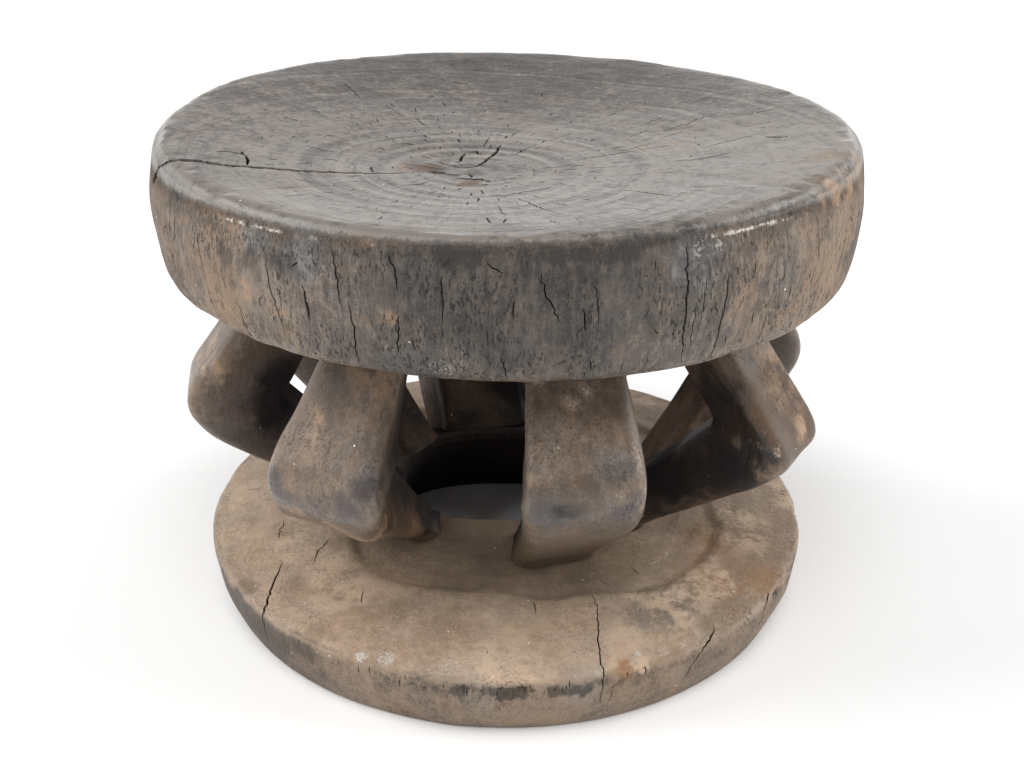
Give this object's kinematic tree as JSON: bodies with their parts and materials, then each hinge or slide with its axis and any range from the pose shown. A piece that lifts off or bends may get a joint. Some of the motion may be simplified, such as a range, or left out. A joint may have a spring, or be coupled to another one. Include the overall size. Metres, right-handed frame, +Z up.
{
  "type": "carved wooden stool",
  "caption": "Round carved stool with a thick dished seat on a ring of bent legs that rise from a heavy pierced base.",
  "frame": {"origin": "centre of the footprint, on the floor", "axes": "+Z up; -Y towards the front, as in the picture; +X to the right"},
  "size_m": [0.4204, 0.4196, 0.306],
  "materials": {
    "seat_wood": "worn satin, dark grey brown, cracked end grain",
    "base_wood": "dry matte brown with tool marks",
    "leg_wood": "handled satin brown"
  },
  "bodies": {
    "root": {"seat": "seat_wood", "base_ring": "base_wood", "leg_front_right": "leg_wood", "leg_right": "leg_wood", "leg_back_right": "leg_wood", "leg_rear_right": "leg_wood", "leg_rear_left": "leg_wood", "leg_back_left": "leg_wood", "leg_left": "leg_wood", "leg_front_left": "leg_wood"}
  },
  "joints": []
}
